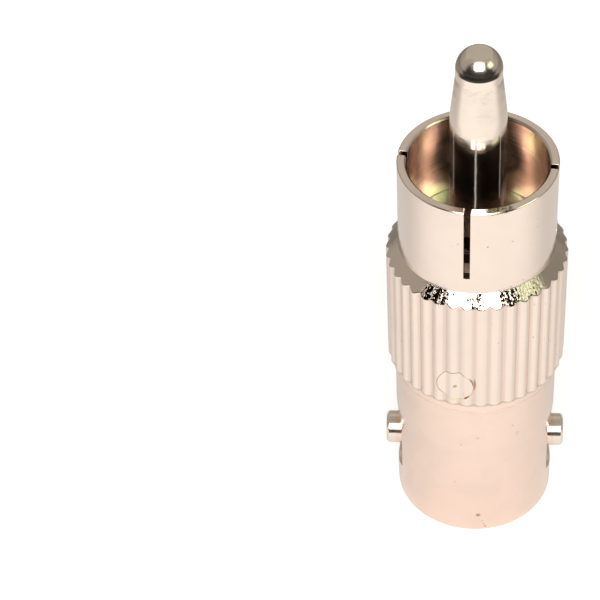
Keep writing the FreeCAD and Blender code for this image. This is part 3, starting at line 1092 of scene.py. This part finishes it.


# %% [markdown]
# The outside is bright nickel with a warm cast. Metal has no colour of its own but what
# it mirrors, times a tint. So the tint is pale and slightly red, and roughness and a
# bump of a few micrometres do the rest. The plating bath reaches the inside of the
# shell badly: there it is thin, and the copper underneath shows through it. That dark
# copper is also painted shade of the deep shell. Upright bands in there, each around a
# direction from the axis, are painted light and shade, with a few painted green
# highlights. The cone was scuffed by a tool, which left it speckled, and one side of it
# has painted shade. The slots, the grooves of the knurl, the line at the collar's lower
# edge and the mark's dimple are painted dark as shade.

# %% Tints of the knurled body
NICKEL = (0.975, 0.81, 0.71, 1)
DULL_NICKEL = (0.72, 0.62, 0.53, 1)
BARREL_NICKEL = (1.0, 0.775, 0.66, 1)
# Inside the shell: partly thin plating, where copper shows through, and partly painted shade of the
# deep shell.
SHADED_COPPER = (0.60, 0.45, 0.37, 1)
PALE_COPPER = (0.84, 0.67, 0.60, 1)
# Painted shade in the knurl's grooves.
GROOVE_SHADE = (0.82, 0.64, 0.56, 1)
CONE_SHADE = (0.60, 0.50, 0.42, 1)
# A dark line: painted shade at the collar's lower edge and in the dimple, and the mark's outline,
# partly its scar and partly painted shade of its step.
LINE_AND_SHADE_BROWN = (0.40, 0.26, 0.14, 1)
# Painted shade in the slots.
SLOT_SHADE_BROWN = (0.09, 0.07, 0.045, 1)
GRIME = (0.16, 0.12, 0.08, 1)
# Painted shade: black round the pin at the floor of the shell, and on the slot floors.
WELL_SHADE_BLACK = (0.035, 0.03, 0.02, 1)
# Black of specks and chips, and of a painted dark reflection on the pin's dome.
SCUFF_AND_REFLECTION_BLACK = (0.007, 0.006, 0.004, 1)
# A painted highlight on the mark's low edge.
EDGE_GLINT = (1.0, 0.85, 0.38, 1)
# A painted green glint, used in the rim's chips.
RIM_GREEN_GLINT = (0.62, 0.60, 0.36, 1)
GLINT_GREEN = (0.99, 0.99, 0.72, 1)

# %% Places on the knurled body: bands (direction, full within, none past, tint) and dots
# Bands of painted light and shade inside the shell: painted shade towards the back, painted
# reflections, lighter or darker, towards the sides.
LIGHT_AND_SHADE_BANDS = (((0, 1, 0), 0.95, 0.80, (0.23, 0.19, 0.12, 1)),
         ((-0.90, 0.43, 0), 0.97, 0.86, (1.0, 0.82, 0.76, 1)),
         ((0.93, 0.36, 0), 0.97, 0.86, (0.86, 0.73, 0.67, 1)),
         ((-0.68, 0.73, 0), 0.995, 0.970, (0.87, 0.70, 0.61, 1)),
         ((0.70, 0.71, 0), 0.995, 0.970, (0.66, 0.49, 0.42, 1)))
# Painted green highlights inside the shell.
GLINTS = ((-2.2, 3.1, 21.1, 1.15, 1.0), (2.2, 3.0, 20.8, 0.75, 1.0))
# Where the painted highlight lies on the mark's outline.
EDGE_GLINT_SPOTS = ((-1.55, -4.9, 12.4, 0.5, 1.0), (-1.15, -5.0, 12.3, 0.5, 1.0))
# Painted shade on the right side of the cone.
DARK_CONE = ((4.3, -2.5, 20.1, 3.4, 0.8),)
CHIPPED_RIM = ((0.95, -4.25, 26.4, 0.55, 1.0), (1.55, -4.0, 26.4, 0.55, 1.0))
SHELL_SPECKS = ((0.60, -4.52, 24.0, 0.08, 0.5), (-1.37, -4.35, 23.9, 0.06, 0.3))
CONE_LOW = COLLAR_TOP + 0.05
CONE_HIGH = SHOULDER_TOP + 0.02


# %% Regions on the outside of the knurled body
def outer_regions(tree, lathe):
    """Masks of the neck, the lower edge, the grooves and the cone, and the round mark. The
    lower edge and the grooves get painted shade.
    """
    radius, height = lathe["Radius"], lathe["Height"]
    mark = placed(tree, round_mark)
    neck = step(height, COLLAR_BOTTOM - 0.05, COLLAR_BOTTOM - 0.13)
    shaded_low_edge = step(height, COLLAR_BOTTOM + 0.11, COLLAR_BOTTOM + 0.05) * (1 - neck)
    groove = step(radius, COLLAR_R - 0.07, COLLAR_R - 0.16) * (1 - mark["Disc"])
    groove = groove * between(height, COLLAR_BOTTOM - 0.25, COLLAR_BOTTOM - 0.15,
                              COLLAR_TOP - 0.05, COLLAR_TOP + 0.05)
    cone = between(height, CONE_LOW - 0.12, CONE_LOW, CONE_HIGH, CONE_HIGH + 0.08)
    return neck, shaded_low_edge, groove, cone, mark


# %% Regions inside its shell
def inner_regions(lathe):
    """Masks of the bore, its floor, the well round the pin, the slots and their floors."""
    radius, height = lathe["Radius"], lathe["Height"]
    bore = step(radius, SHELL_BORE_R + 0.19, SHELL_BORE_R + 0.09)
    bore = bore * step(height, SHELL_FLOOR - 0.25, SHELL_FLOOR - 0.05)
    floor = bore * step(height, SHELL_FLOOR + 0.17, SHELL_FLOOR + 0.07)
    well = step(radius, PLUG_HOLE_R + 0.25, PLUG_HOLE_R + 0.1)
    well = well * between(height, SHELL_FLOOR - 0.25, SHELL_FLOOR - 0.15,
                          SHELL_FLOOR + 0.15, SHELL_FLOOR + 0.25)
    slot = between(radius, SHELL_BORE_R + 0.02, SHELL_BORE_R + 0.04,
                   SHELL_R - 0.04, SHELL_R - 0.02)
    slot = slot * between(height, SLOT_BOTTOM - 0.13, SLOT_BOTTOM - 0.08,
                          SHELL_TOP - 0.14, SHELL_TOP - 0.06)
    slot_floor = slot * step(height, SLOT_BOTTOM + 0.09, SLOT_BOTTOM + 0.03)
    return bore, floor, well, slot, slot_floor


# %% Colour inside its shell
def shell_inside(tree, around, lines, in_well):
    """Streaky copper, partly painted shade, with bands of painted light and shade, dark at
    the back, painted green highlights, and painted shade black round the pin.
    """
    wide_lines = placed(tree, tool_lines, Density=3.0, Wander=0.8, Patches=0.2)[0]
    combed = placed(tree, streaks, Count=9.0, Drift=0.25)[0]
    streak = step(wide_lines * 0.25 + combed * 0.25 + lines * 0.5, 0.43, 0.57)
    colour = mixed(streak, SHADED_COPPER, PALE_COPPER)
    for toward, full, none, tint in LIGHT_AND_SHADE_BANDS:
        turned = vectors("DOT_PRODUCT", around, toward)
        colour = mixed(step(turned, none, full) * (streak * 0.5 + 0.4), colour, tint)
    return painted(colour, [(soft_dots(tree, GLINTS), GLINT_GREEN), (in_well, WELL_SHADE_BLACK)])


# %% Finish of the knurled body
def body_finish():
    """Bright outside, streaky inside with painted light and shade, a rough speckled cone,
    and painted shade in the grooves, in the slots and at the collar's lower edge.
    """
    tree, shader = new_material("warm_nickel_body", body)
    lathe = placed(tree, lathe_coordinates)
    on_neck, shaded_low_edge, groove, on_cone, mark = outer_regions(tree, lathe)
    in_shell, on_floor, in_well, in_slot, slot_floor = inner_regions(lathe)
    lines = placed(tree, tool_lines, Density=11.0, Wander=0.5, Patches=0.6)[0]
    scratches = placed(tree, streaks, Count=42.0, Drift=0.6)[0]
    dots = placed(tree, specks, Scale=3.0, Chance=0.10, Size=0.22)[0]
    stain = placed(tree, stains, Scale=0.35, Low=0.42, High=0.7)[0]
    chatter = noise(place_on(tree), 7.0 * PER_MM, Detail=3.0, Roughness=0.6)
    scuffed = placed(tree, scuffs)[0] * on_cone
    worn = chatter * 0.5 + scratches * 0.5 + scuffed * 0.34
    speckled = step(worn, 0.73, 0.76) * on_cone
    at_rim = step(lathe["Height"], SHELL_TOP - 0.16, SHELL_TOP - 0.12)
    chip_and_glint = mixed(step(chatter, 0.50, 0.56), RIM_GREEN_GLINT, SCUFF_AND_REFLECTION_BLACK)

    colour = painted(NICKEL, [
        (stain * 0.10, DULL_NICKEL),
        # Painted shade in the grooves of the knurl.
        (groove * 0.85, GROOVE_SHADE),
        (on_neck, BARREL_NICKEL),
        # Painted shade on one side of the cone.
        (soft_dots(tree, DARK_CONE) * on_cone, CONE_SHADE),
        # Painted shade: a dark line at the collar's lower edge.
        (shaded_low_edge * 0.35, LINE_AND_SHADE_BROWN),
        # The mark's outline is partly its scar and partly painted shade of its step; its dimple is
        # painted dark as shade.
        (mark["Outline"] * 0.7, LINE_AND_SHADE_BROWN),
        # A painted highlight on the outline's low left.
        (mark["Outline"] * soft_dots(tree, EDGE_GLINT_SPOTS), EDGE_GLINT),
        (mark["Dimple"] * 0.7, LINE_AND_SHADE_BROWN),
        # Inside the shell: copper streaks with painted shade, painted reflections and painted
        # highlights.
        (in_shell, shell_inside(tree, lathe["Around"], lines, in_well)),
        (speckled, SCUFF_AND_REFLECTION_BLACK),
        # The slots and their floors are painted dark as shade.
        (in_slot * 0.9, SLOT_SHADE_BROWN),
        (slot_floor, WELL_SHADE_BLACK),
        (dots * 0.35, GRIME),
        (soft_dots(tree, SHELL_SPECKS), GRIME),
        # Chips worn in the rim, partly black and partly a painted green glint.
        (soft_dots(tree, CHIPPED_RIM) * at_rim * 0.8, chip_and_glint),
    ])
    roughness = lines * 0.10 + 0.09 + stain * 0.06 - on_cone * 0.04
    roughness = roughness + in_shell * 0.02 + on_floor * 0.2 + slot_floor * 0.3
    rise = lines * (in_shell * 3.0 + 0.5) - dots * 0.8 - speckled * 1.6 - mark["Outline"] * 3.0
    rise = rise + chatter * (scuffed * 9.0 + on_cone * 3.0 + 0.1) + scratches * scuffed * 8.0
    surface(shader, colour, roughness, rise, 3.0, {"Metallic": 1.0})


body_finish()

# %% [markdown]
# The barrel, the pin and the contact have the same plating, with less wear. The pin is
# brighter and a little dented. Its sides are painted darker as shade, its shaft is painted
# dark as a reflection of the deep shell, and a dark ring is painted in front where the
# dome begins, as a painted reflection. The barrel has a few given specks and a scratch,
# and its lugs are painted paler as painted light.

# %% Tints and places of the barrel, the pin and the contact
PIN_NICKEL = (0.99, 0.845, 0.735, 1)
# Painted shade on the pin's sides.
PIN_SIDE_SHADE = (0.89, 0.74, 0.64, 1)
# A painted dark reflection on the pin's shaft, below the given height.
SHAFT_REFLECTION_DARK = (0.29, 0.29, 0.27, 1)
SHAFT_REFLECTION_BELOW = 29.3
CONTACT_NICKEL = (0.90, 0.78, 0.60, 1)
# The lugs are painted paler as painted light.
LUG_HIGHLIGHT_NICKEL = (0.99, 0.95, 0.86, 1)
LUG_FROM = 4.86
BARREL_SPECKS = ((0.29, -4.77, 1.45, 0.20, 0.6), (0.21, -4.83, 8.6, 0.15, 0.16),
                 (2.56, -4.10, 8.35, 0.24, 0.12), (0.55, -4.75, 0.85, 0.10, 0.25),
                 (0.66, -4.74, 0.60, 0.10, 0.3), (0.74, -4.72, 0.35, 0.13, 0.35))


# %% Layers of one piece alone
def pin_layers(tree, height):
    """Sides painted darker as shade, the shaft and the foot of the dome in front painted
    dark as reflections.
    """
    facing = added(tree, "ShaderNodeLayerWeight", {"Blend": 0.5})["Facing"]
    in_front = step(xyz(place_on(tree))[1] * PER_MM, -0.5, -0.9)
    above_nose = height - NOSE_TOP
    # A painted dark reflection at the foot of the dome, in front only.
    foot = between(above_nose, -0.02, 0.02, 0.20, 0.40) * in_front
    sunk = step(height, SHAFT_REFLECTION_BELOW, SHAFT_REFLECTION_BELOW - 0.6)
    return [(step(facing, 0.31, 0.44), PIN_SIDE_SHADE), (sunk * 0.8, SHAFT_REFLECTION_DARK),
            (foot * 0.95, SCUFF_AND_REFLECTION_BLACK)]


def barrel_layers(tree, height):
    """Given specks and a scratch of dots, and the lugs painted paler as painted light."""
    off = abs(xyz(place_on(tree))[0]) * PER_MM
    on_lug = step(off, LUG_FROM, LUG_FROM + 0.1)
    return [(soft_dots(tree, BARREL_SPECKS), GRIME), (on_lug * 0.5, LUG_HIGHLIGHT_NICKEL)]


def no_layers(tree, height):
    """Nothing more."""
    return []


# %% Finish of the barrel, the pin and the contact
def plated_finish(name, piece, tint, rough, density, line_rise, waves, layers=no_layers):
    """Plated turning: stains and specks in the tint, tool circles in gloss and bump.

    Waves are slow dents. Dust dulls the seam below the collar, and wear the pin's dome,
    which no other piece reaches.
    """
    tree, shader = new_material(name, piece)
    lines = placed(tree, tool_lines, Density=density, Wander=0.5, Patches=0.5)[0]
    dots = placed(tree, specks, Scale=2.6, Chance=0.05, Size=0.2)[0]
    stain = placed(tree, stains, Scale=0.4, Low=0.4, High=0.7)[0]
    height = placed(tree, lathe_coordinates)["Height"]
    seam = step(abs(height - SEAM), 0.06, 0.04)
    worn = step(height, NOSE_TOP, NOSE_TOP + 0.1)
    colour = painted(tint, [(stain * 0.18, DULL_NICKEL), (dots * 0.4, GRIME),
                            *layers(tree, height)])
    gloss = lines * 0.10 + (rough - 0.05) + stain * 0.05 + seam * 0.5 + worn * 0.07
    rise = lines * line_rise - dots * 0.8 + noise(place_on(tree), 1.6 * PER_MM) * waves
    surface(shader, colour, gloss, rise, 3.0, {"Metallic": 1.0})


plated_finish("warm_nickel_barrel", barrel, BARREL_NICKEL, 0.16, 9.0, 0.35, 0.5, barrel_layers)
plated_finish("bright_nickel_pin", pin, PIN_NICKEL, 0.12, 14.0, 0.25, 4.0, pin_layers)
plated_finish("nickel_contact", contact, CONTACT_NICKEL, 0.16, 16.0, 0.5, 0.5)

# %% [markdown]
# The insulators are plastic: a white one in the socket and a black one under the plug.
# They are turned too, so their faces have very fine circles. The white one is slightly
# see-through, but thick enough here to look like matt wax.

# %% Finish of the insulators
WHITE = (0.80, 0.80, 0.77, 1)
WHITE_SHADE = (0.66, 0.65, 0.60, 1)
BLACK = (0.022, 0.020, 0.018, 1)
BLACK_SHADE = (0.045, 0.038, 0.03, 1)


def plastic_finish(name, piece, tint, shade, shine):
    """Waxy plastic with fine tool circles, slow shades and a few dust specks."""
    tree, shader = new_material(name, piece)
    lines = placed(tree, tool_lines, Density=16.0, Wander=0.3, Patches=0.3)[0]
    dust = placed(tree, specks, Scale=5.0, Chance=0.12, Size=0.25)[0]
    stain = placed(tree, stains, Scale=0.6, Low=0.4, High=0.7)[0]
    colour = painted(tint, [(stain * 0.5, shade), (dust * 0.5, GRIME)])
    surface(shader, colour, lines * 0.16 + 0.34, lines, 4.0, {
        "Specular IOR Level": shine, "Subsurface Weight": 0.15, "Subsurface Scale": 0.4 * MM})


plastic_finish("white_socket_insulator", socket_insulator, WHITE, WHITE_SHADE, 0.5)
plastic_finish("black_plug_insulator", plug_insulator, BLACK, BLACK_SHADE, 0.1)

# %% [markdown]
# The adapter stands on a white table. The camera looks down at 44 degrees, so every
# upright wall mirrors the table close by, and that is what makes the metal so pale.
# The table glows a little for the camera and for mirrors, up to plain white, and
# keeps the adapter's shadow. Under the mouth it has a hole that only a view from
# below can see, so that light reaches the contact there.

# %% Table
TABLE_R = 1500.0
TABLE_HOLE_R = 4.4
TABLE_RINGS = 25
TABLE_SPOKES = 96
CAMERA_GLOW = 0.48
MIRROR_GLOW = 0.24
PAPER_CENTRE_Y = -16.0
PAPER_HALF = (62.0, 58.0)
DIM_FRONT_Y = -20.0
DIM_BACK_Y = 12.0
DIM_SHARE = 0.31
TABLE_WHITE = (0.8, 0.8, 0.8, 1)
PLAIN_WHITE = (1, 1, 1, 1)
OUTER_GREY = (0.33, 0.32, 0.31, 1)
OUTER_DARK = (0.03, 0.03, 0.03, 1)


def make_table():
    """Rings of points in the floor plane, spaced by equal ratios from the hole outwards."""
    rings = TABLE_HOLE_R * (TABLE_R / TABLE_HOLE_R) ** np.linspace(0, 1, TABLE_RINGS)
    rows = np.stack([rings, rings * 0], -1)[:, None]
    mesh = mesh_from("table", [carried(rows, np.linspace(360, 0, TABLE_SPOKES + 1))])
    table = in_scene("table", mesh)
    print("table:", len(mesh.polygons), "faces, normal up:", mesh.polygons[0].normal.z > 0)
    return table


def table_finish(table):
    """Matt white with a glow for camera and mirror rays; from below it isn't there.

    In mirrors the paper is dimmer beside and behind the adapter, and it has an edge:
    past it the table is grey, or nearly black in front, where the camera stands.
    """
    tree, shader = new_material("white_table", table)
    tree.nodes.remove(shader)
    output = next(node for node in tree.nodes if node.type == "OUTPUT_MATERIAL")
    path = added(tree, "ShaderNodeLightPath")
    x, y, _ = xyz(vectors("SCALE", place_on(tree), PER_MM))
    across = x * (1 / PAPER_HALF[0])
    along = (y - PAPER_CENTRE_Y) * (1 / PAPER_HALF[1])
    outside = step(vectors("LENGTH", combined(across, along)), 0.97, 1.05)
    bright = 1 - step(y, DIM_FRONT_Y, DIM_BACK_Y) * DIM_SHARE
    paper = vectors("SCALE", TABLE_WHITE[:3], bright)
    outer = mixed(step(y, -15.0, -45.0), OUTER_GREY, OUTER_DARK)
    colour = mixed(path["Is Glossy Ray"], TABLE_WHITE, mixed(outside, paper, outer))
    mirror = path["Is Glossy Ray"] * (1 - outside) * bright * MIRROR_GLOW
    seen = maths("MAXIMUM", path["Is Camera Ray"], path["Is Transmission Ray"])
    glow = {"Color": PLAIN_WHITE, "Strength": seen * CAMERA_GLOW + mirror}
    matt = added(tree, "ShaderNodeBsdfDiffuse", {"Color": colour})[0]
    top = added(tree, "ShaderNodeAddShader", {0: matt, 1: added(tree, "ShaderNodeEmission", glow)[0]})
    clear = added(tree, "ShaderNodeBsdfTransparent")[0]
    below = added(tree, "ShaderNodeNewGeometry")["Backfacing"]
    both = added(tree, "ShaderNodeMixShader", {0: below, 1: top[0], 2: clear})
    feed(output.inputs["Surface"], both[0])


table_finish(make_table())

# %% [markdown]
# The room is a soft grey, darker low in front, where the photographer's table ended.
# A wide lamp hangs behind the camera, and a small slightly yellow one stands on the
# right. Level faces such as the rim mirror the back of the room, so they look grey.

# %% Room
ROOM = (0.36, 0.35, 0.31, 1)
ROOM_WALL = (0.49, 0.475, 0.43, 1)
ROOM_DARK = (0.02, 0.02, 0.022, 1)


def make_room():
    """World by direction: grey, a paler wall behind, dark in front, white for the camera."""
    world = bpy.data.worlds.new("grey_room")
    bpy.context.scene.world = world
    world.use_nodes = True
    tree = world.node_tree
    background = next(node for node in tree.nodes if node.type == "BACKGROUND")
    _, back, up = xyz(added(tree, "ShaderNodeTexCoord")["Generated"])
    wall = between(up, 0.45, 0.60, 0.78, 0.88) * step(back, 0.0, 0.3)
    dark = step(back, -0.28, -0.46) * step(up, 0.90, 0.80)
    seen = added(tree, "ShaderNodeLightPath")["Is Camera Ray"]
    feed(background.inputs["Color"], painted(ROOM, [
        (wall, ROOM_WALL), (dark, ROOM_DARK), (seen, PLAIN_WHITE)]))


make_room()


# %% Lamps
def from_front(azimuth, elevation, distance):
    """Place in metres at an azimuth from -Y towards +X, an elevation and a distance."""
    a, e = math.radians(azimuth), math.radians(elevation)
    return np.array([math.cos(e) * math.sin(a), -math.cos(e) * math.cos(a),
                     math.sin(e)]) * distance


def soft_lamp(name, azimuth, elevation, distance, width, tall, radiance, colour):
    """Rectangle lamp aimed at the middle of the adapter. Its power is 4 x area x radiance."""
    data = bpy.data.lights.new(name, "AREA")
    data.shape = "RECTANGLE"
    data.size, data.size_y = width, tall
    data.energy = 4 * width * tall * radiance
    data.color = colour
    lamp = in_scene(name, data)
    place = from_front(azimuth, elevation, distance)
    lamp.location = np.array([0, 0, PIN_TIP / 2 * MM]) + place
    lamp.rotation_euler = Vector(-place).to_track_quat("-Z", "Y").to_euler()


soft_lamp("key_softbox", 0, 44.3, 0.60, 0.46, 0.34, 5.5, (1, 1, 1))
soft_lamp("side_lamp", 70, 33, 0.5, 0.22, 0.16, 1.3, (0.84, 1, 0.66))

# %% [markdown]
# The camera was found from points on the adapter's circles. It looks down at 44
# degrees from 133 mm away, with the adapter right of the middle of the frame.

# %% Camera
CAMERA_DISTANCE = 132.908
CAMERA_TARGET_Z = 16.0
CAMERA_ELEVATION = 0.7728
CAMERA_PITCH = -0.0028
CAMERA_YAW = 0.07847
CAMERA_ROLL = 0.01287
FOCAL_PIXELS = 2241.29
FRAME_PIXELS = 600
SENSOR_MM = 36.0


def make_camera():
    """Looks at the target height from the front, then turned by roll, yaw and pitch."""
    rise, level = math.sin(CAMERA_ELEVATION), math.cos(CAMERA_ELEVATION)
    place = Vector((0, -CAMERA_DISTANCE * level, CAMERA_TARGET_Z + CAMERA_DISTANCE * rise))
    aimed = Matrix(((1, 0, 0), (0, rise, -level), (0, level, rise)))
    turned = (Matrix.Rotation(CAMERA_ROLL, 3, "Z") @ Matrix.Rotation(CAMERA_YAW, 3, "Y")
              @ Matrix.Rotation(CAMERA_PITCH, 3, "X"))
    data = bpy.data.cameras.new("product_camera")
    data.sensor_width = SENSOR_MM
    data.lens = SENSOR_MM * FOCAL_PIXELS / FRAME_PIXELS
    data.clip_start = 0.01
    camera = in_scene("product_camera", data)
    camera.matrix_world = Matrix.Translation(place * MM) @ (aimed @ turned).to_4x4()
    bpy.context.scene.camera = camera
    print(f"lens {data.lens:.1f} mm, camera at", [round(v, 4) for v in camera.location])


make_camera()
bpy.context.scene.view_settings.view_transform = "Standard"
